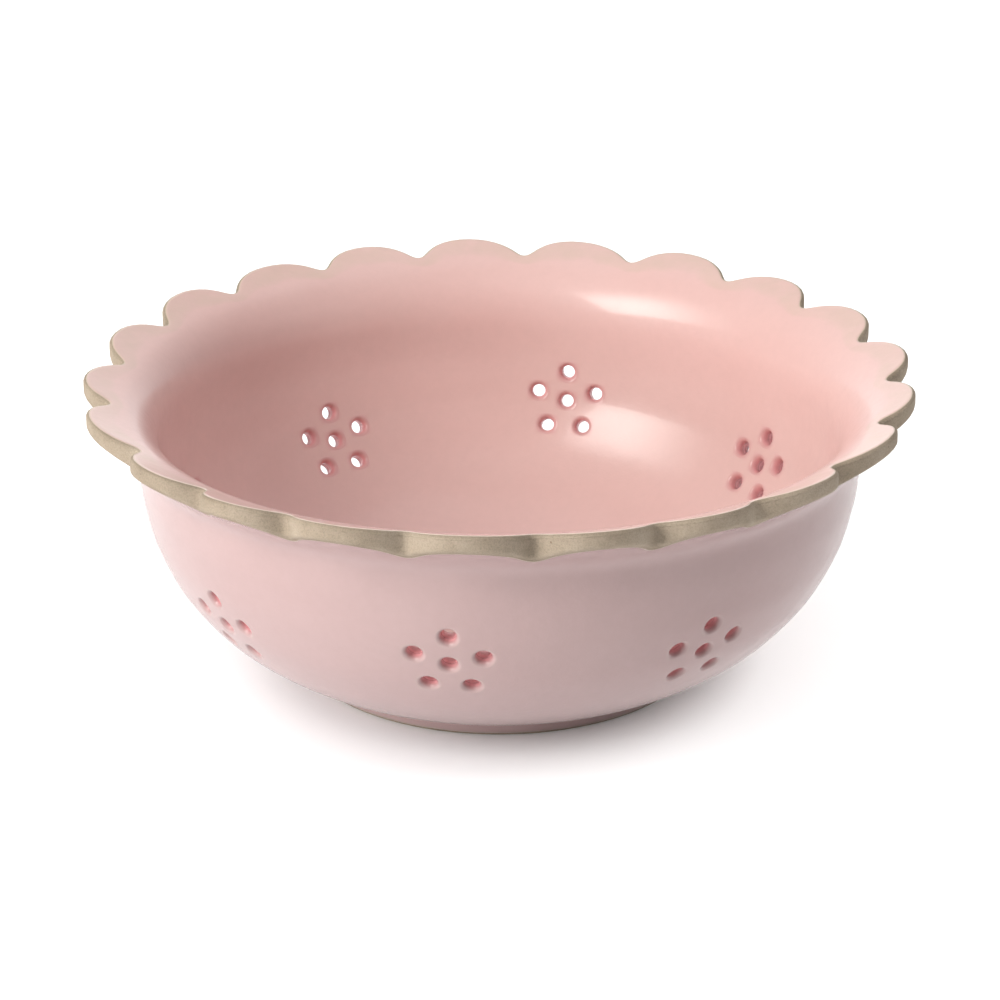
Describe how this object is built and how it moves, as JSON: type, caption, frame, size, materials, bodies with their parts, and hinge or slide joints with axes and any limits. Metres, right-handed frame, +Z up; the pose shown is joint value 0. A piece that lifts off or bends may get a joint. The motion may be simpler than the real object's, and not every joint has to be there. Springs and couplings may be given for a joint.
{
  "type": "berry colander bowl",
  "caption": "Footed stoneware bowl with a flared, scalloped rim and flower-shaped groups of drain holes through its wall and floor, for rinsing, draining and serving berries",
  "frame": {"origin": "centre of the foot ring's standing edge, on the table plane", "axes": "+Z up along the bowl's own axis; +X to the right and -Y towards the viewer of the picture"},
  "size_m": [0.1992, 0.1996, 0.0731],
  "materials": {
    "bare_clay": "unglazed, fine sandy grain",
    "glaze_inside": "glossy salmon pink glaze",
    "glaze_outside": "satin gloss pale pink glaze"
  },
  "bodies": {
    "root": {"clay_bowl": "bare_clay", "scalloped_rim": "bare_clay", "foot_ring": "bare_clay", "inside_glaze": "glaze_inside", "outside_glaze": "glaze_outside", "hole_glaze_linings": "glaze_inside", "foot_well_glaze": "glaze_outside"}
  },
  "joints": []
}
